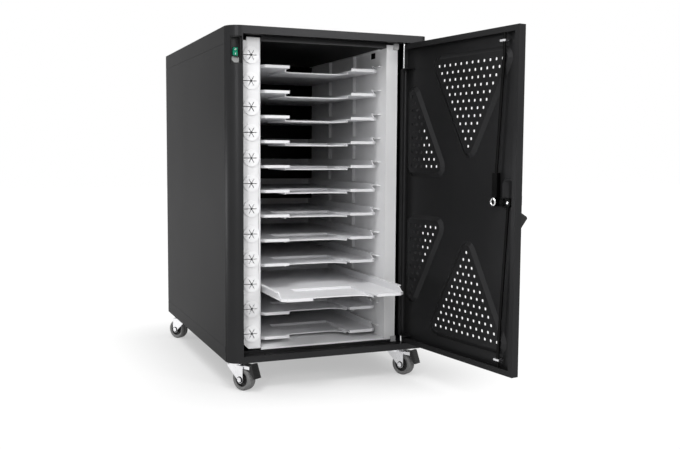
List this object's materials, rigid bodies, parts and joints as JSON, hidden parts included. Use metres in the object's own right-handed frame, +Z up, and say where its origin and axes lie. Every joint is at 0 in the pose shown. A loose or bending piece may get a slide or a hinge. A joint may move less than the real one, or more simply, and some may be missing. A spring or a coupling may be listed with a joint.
{
  "type": "laptop charging cart",
  "caption": "Steel laptop charging cabinet on casters with sliding trays, a slit-grommet cable panel, a perforated lockable door and a lit power switch.",
  "frame": {"origin": "centre of the cabinet underside (the flat underside of the base pan)", "axes": "+Z up, -Y out of the door opening, +X to the hinge side"},
  "size_m": [0.455, 0.8932, 0.675],
  "materials": {
    "black_paint": "satin",
    "white_paint": "satin",
    "tray_plastic": "satin",
    "grommet_rubber": "matte",
    "black_plastic": "satin",
    "green_lens": "gloss",
    "zinc": "bright",
    "black_steel": "satin",
    "grey_rubber": "matte"
  },
  "bodies": {
    "cabinet": {"front_frame": "black_paint", "top_cover": "black_paint", "base_pan": "black_paint", "left_side_panel": "black_paint", "right_side_panel": "black_paint", "rear_panel": "black_paint", "bay_floor": "white_paint", "left_tray_wall": "white_paint", "right_tray_wall": "white_paint", "cable_panel": "white_paint", "power_strip": "black_plastic", "power_inlet": "black_plastic", "switch_housing": "black_plastic", "hinge_block_upper": "zinc", "hinge_block_lower": "zinc", "grommet_01": "grommet_rubber", "grommet_02": "grommet_rubber", "grommet_03": "grommet_rubber", "grommet_04": "grommet_rubber", "grommet_05": "grommet_rubber", "grommet_06": "grommet_rubber", "grommet_07": "grommet_rubber", "grommet_08": "grommet_rubber", "grommet_09": "grommet_rubber", "grommet_10": "grommet_rubber", "grommet_11": "grommet_rubber", "grommet_12": "grommet_rubber"},
    "door": {"door_panel": "black_paint", "hinge_pin_upper": "zinc", "hinge_pin_lower": "zinc", "rod_guide_upper": "zinc", "rod_guide_lower": "zinc", "lock_plate": "black_plastic"},
    "lock": {"lock_cam": "black_steel"},
    "handle": {"swing_handle": "black_plastic"},
    "top_bolt": {"upper_rod": "black_steel"},
    "bottom_bolt": {"lower_rod": "black_steel"},
    "rocker": {"power_rocker": "green_lens"},
    "tray_01": {"tray_01": "tray_plastic"},
    "tray_02": {"tray_02": "tray_plastic"},
    "tray_03": {"tray_03": "tray_plastic"},
    "tray_04": {"tray_04": "tray_plastic"},
    "tray_05": {"tray_05": "tray_plastic"},
    "tray_06": {"tray_06": "tray_plastic"},
    "tray_07": {"tray_07": "tray_plastic"},
    "tray_08": {"tray_08": "tray_plastic"},
    "tray_09": {"tray_09": "tray_plastic"},
    "tray_10": {"tray_10": "tray_plastic"},
    "tray_11": {"tray_11": "tray_plastic"},
    "tray_12": {"tray_12": "tray_plastic"},
    "swivel_front_left": {"caster_fork_front_left": "zinc"},
    "wheel_front_left": {"caster_wheel_front_left": "grey_rubber"},
    "brake_front_left": {"brake_pedal_front_left": "black_plastic"},
    "swivel_front_right": {"caster_fork_front_right": "zinc"},
    "wheel_front_right": {"caster_wheel_front_right": "grey_rubber"},
    "brake_front_right": {"brake_pedal_front_right": "black_plastic"},
    "swivel_rear_left": {"caster_fork_rear_left": "zinc"},
    "wheel_rear_left": {"caster_wheel_rear_left": "grey_rubber"},
    "swivel_rear_right": {"caster_fork_rear_right": "zinc"},
    "wheel_rear_right": {"caster_wheel_rear_right": "grey_rubber"}
  },
  "joints": [
    {"name": "door_hinge", "type": "hinge", "parent": "cabinet", "child": "door", "pos_m": [0.1585, -0.276, 0.30885], "axis": [0, 0, 1], "range_deg": [-98.5, 3]},
    {"name": "lock_turn", "type": "hinge", "parent": "door", "child": "lock", "pos_m": [0.20107, -0.56084, 0.30885], "axis": [0.989, 0.1478, 0], "range_deg": [0, 90]},
    {"name": "handle_flip", "type": "hinge", "parent": "lock", "child": "handle", "pos_m": [0.22045, -0.55794, 0.32185], "axis": [0.1478, -0.989, 0], "range_deg": [0, 30]},
    {"name": "top_bolt_slide", "type": "slide", "parent": "door", "child": "top_bolt", "axis": [0, 0, 1], "range_m": [0, 0.018]},
    {"name": "bottom_bolt_slide", "type": "slide", "parent": "door", "child": "bottom_bolt", "axis": [0, 0, -1], "range_m": [0, 0.018]},
    {"name": "rocker_tilt", "type": "hinge", "parent": "cabinet", "child": "rocker", "pos_m": [-0.1837, -0.277, 0.5737], "axis": [1, 0, 0], "range_deg": [-14, 0]},
    {"name": "tray_01_slide", "type": "slide", "parent": "cabinet", "child": "tray_01", "axis": [0, -1, 0], "range_m": [0, 0.2]},
    {"name": "tray_02_slide", "type": "slide", "parent": "cabinet", "child": "tray_02", "axis": [0, -1, 0], "range_m": [0, 0.2]},
    {"name": "tray_03_slide", "type": "slide", "parent": "cabinet", "child": "tray_03", "axis": [0, -1, 0], "range_m": [0, 0.2]},
    {"name": "tray_04_slide", "type": "slide", "parent": "cabinet", "child": "tray_04", "axis": [0, -1, 0], "range_m": [0, 0.2]},
    {"name": "tray_05_slide", "type": "slide", "parent": "cabinet", "child": "tray_05", "axis": [0, -1, 0], "range_m": [0, 0.2]},
    {"name": "tray_06_slide", "type": "slide", "parent": "cabinet", "child": "tray_06", "axis": [0, -1, 0], "range_m": [0, 0.2]},
    {"name": "tray_07_slide", "type": "slide", "parent": "cabinet", "child": "tray_07", "axis": [0, -1, 0], "range_m": [0, 0.2]},
    {"name": "tray_08_slide", "type": "slide", "parent": "cabinet", "child": "tray_08", "axis": [0, -1, 0], "range_m": [0, 0.2]},
    {"name": "tray_09_slide", "type": "slide", "parent": "cabinet", "child": "tray_09", "axis": [0, -1, 0], "range_m": [0, 0.2]},
    {"name": "tray_10_slide", "type": "slide", "parent": "cabinet", "child": "tray_10", "axis": [0, -1, 0], "range_m": [-0.133, 0.067]},
    {"name": "tray_11_slide", "type": "slide", "parent": "cabinet", "child": "tray_11", "axis": [0, -1, 0], "range_m": [0, 0.2]},
    {"name": "tray_12_slide", "type": "slide", "parent": "cabinet", "child": "tray_12", "axis": [0, -1, 0], "range_m": [0, 0.2]},
    {"name": "swivel_front_left_turn", "type": "hinge", "parent": "cabinet", "child": "swivel_front_left", "pos_m": [-0.176, -0.256, 0], "axis": [0, 0, 1], "continuous": true},
    {"name": "wheel_front_left_roll", "type": "hinge", "parent": "swivel_front_left", "child": "wheel_front_left", "pos_m": [-0.16646, -0.27126, -0.033], "axis": [0.848, 0.5299, 0], "continuous": true},
    {"name": "brake_front_left_press", "type": "hinge", "parent": "swivel_front_left", "child": "brake_front_left", "pos_m": [-0.16084, -0.28025, -0.0095], "axis": [0.848, 0.5299, 0], "range_deg": [0, 10]},
    {"name": "swivel_front_right_turn", "type": "hinge", "parent": "cabinet", "child": "swivel_front_right", "pos_m": [0.158, -0.256, 0], "axis": [0, 0, 1], "continuous": true},
    {"name": "wheel_front_right_roll", "type": "hinge", "parent": "swivel_front_right", "child": "wheel_front_right", "pos_m": [0.167, -0.27159, -0.033], "axis": [0.866, 0.5, 0], "continuous": true},
    {"name": "brake_front_right_press", "type": "hinge", "parent": "swivel_front_right", "child": "brake_front_right", "pos_m": [0.1723, -0.28077, -0.0095], "axis": [0.866, 0.5, 0], "range_deg": [0, 10]},
    {"name": "swivel_rear_left_turn", "type": "hinge", "parent": "cabinet", "child": "swivel_rear_left", "pos_m": [-0.176, 0.218, 0], "axis": [0, 0, 1], "continuous": true},
    {"name": "wheel_rear_left_roll", "type": "hinge", "parent": "swivel_rear_left", "child": "wheel_rear_left", "pos_m": [-0.18658, 0.23256, -0.033], "axis": [-0.809, -0.5878, 0], "continuous": true},
    {"name": "swivel_rear_right_turn", "type": "hinge", "parent": "cabinet", "child": "swivel_rear_right", "pos_m": [0.158, 0.218, 0], "axis": [0, 0, 1], "continuous": true},
    {"name": "wheel_rear_right_roll", "type": "hinge", "parent": "swivel_rear_right", "child": "wheel_rear_right", "pos_m": [0.16832, 0.20325, -0.033], "axis": [0.8192, 0.5736, 0], "continuous": true}
  ],
  "couplings": [
    {"joint": "top_bolt_slide", "follows": "lock_turn", "m_per_rad": 0.011459},
    {"joint": "bottom_bolt_slide", "follows": "lock_turn", "m_per_rad": 0.011459},
    {"joint": "tray_10_slide", "follows": "door_hinge", "m_per_rad": 0.07736}
  ]
}
